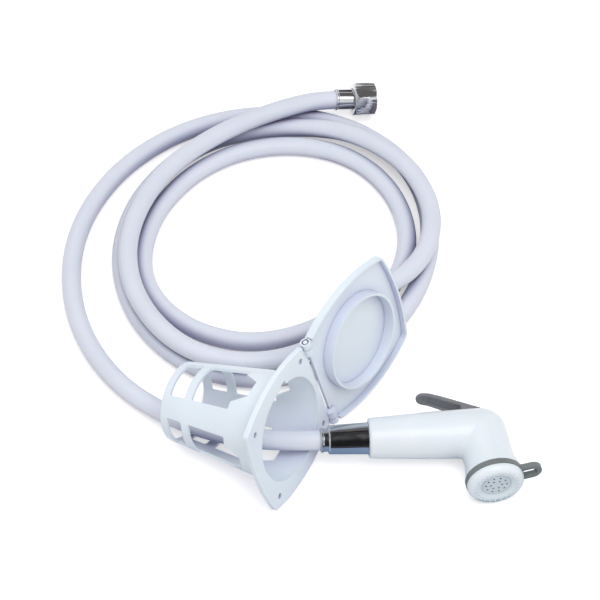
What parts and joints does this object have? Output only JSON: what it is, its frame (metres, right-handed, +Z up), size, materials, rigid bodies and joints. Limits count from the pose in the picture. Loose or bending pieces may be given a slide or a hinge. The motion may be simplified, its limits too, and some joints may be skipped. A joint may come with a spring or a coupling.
{
  "type": "exterior shower box",
  "caption": "Hinged wall box with a windowed basket, a long plain hose led through it, a push-lever shower head and a hexagonal union nut at the supply end.",
  "frame": {"origin": "on the surface that the shower is laid out on, below the middle of the box, lid and shower head without the hose", "axes": "+Z up; +X from the box towards the shower head; +Y towards the coiled hose"},
  "size_m": [0.3372, 0.3986, 0.1052],
  "materials": {
    "box_plastic": "smooth white moulding, soft sheen",
    "pin_plastic": "smooth white plastic",
    "hose_plastic": "smooth cool white hose, slightly satin",
    "plated_metal": "bright plating on turned metal",
    "tail_brass": "turned brass",
    "washer_rubber": "matt black rubber",
    "handle_plastic": "glossy white moulding",
    "lever_plastic": "dark grey moulding, satin",
    "ring_plastic": "mid grey moulding, satin",
    "steel": "drawn steel"
  },
  "bodies": {
    "base": {"box_housing": "box_plastic", "hinge_pin_top": "pin_plastic", "hinge_pin_bottom": "pin_plastic", "shower_hose": "hose_plastic", "supply_tail": "tail_brass", "supply_sleeve": "plated_metal", "handset_tail": "tail_brass", "handset_sleeve": "plated_metal"},
    "lid": {"lid": "box_plastic"},
    "supply_union": {"supply_nut": "plated_metal", "supply_washer": "washer_rubber"},
    "handset": {"cone_nut": "plated_metal", "cone_washer": "washer_rubber", "handset_body": "handle_plastic", "hanging_ring": "ring_plastic", "spray_face": "handle_plastic", "nozzle_plate": "handle_plastic", "face_seal": "washer_rubber", "lever_pin": "steel", "valve_cartridge": "tail_brass", "plunger_seal": "washer_rubber"},
    "lever": {"trigger_lever": "lever_plastic"},
    "valve": {"valve_plunger": "steel"}
  },
  "joints": [
    {"name": "lid_hinge", "type": "hinge", "parent": "base", "child": "lid", "pos_m": [-0.02104, 0.00182, 0.0506], "axis": [0.2403, -0.0488, -0.9695], "range_deg": [0, 35]},
    {"name": "supply_nut_spin", "type": "hinge", "parent": "base", "child": "supply_union", "pos_m": [0.012, 0.307, 0.0146], "axis": [0.9763, 0.1553, -0.1509], "continuous": true},
    {"name": "handset_swivel", "type": "hinge", "parent": "base", "child": "handset", "pos_m": [-0.002, -0.0262, 0.0232], "axis": [0.9962, 0.0802, -0.0333], "continuous": true},
    {"name": "lever_press", "type": "hinge", "parent": "handset", "child": "lever", "pos_m": [0.08666, -0.00653, 0.02021], "axis": [0.0332, 0.0027, 0.9994], "range_deg": [0, 12], "stiffness_Nm_per_rad": 1},
    {"name": "valve_slide", "type": "slide", "parent": "handset", "child": "valve", "axis": [0.0802, -0.9968, 0], "range_m": [0, 0.0015]}
  ],
  "couplings": [
    {"joint": "valve_slide", "follows": "lever_press", "m_per_rad": 0.007}
  ]
}
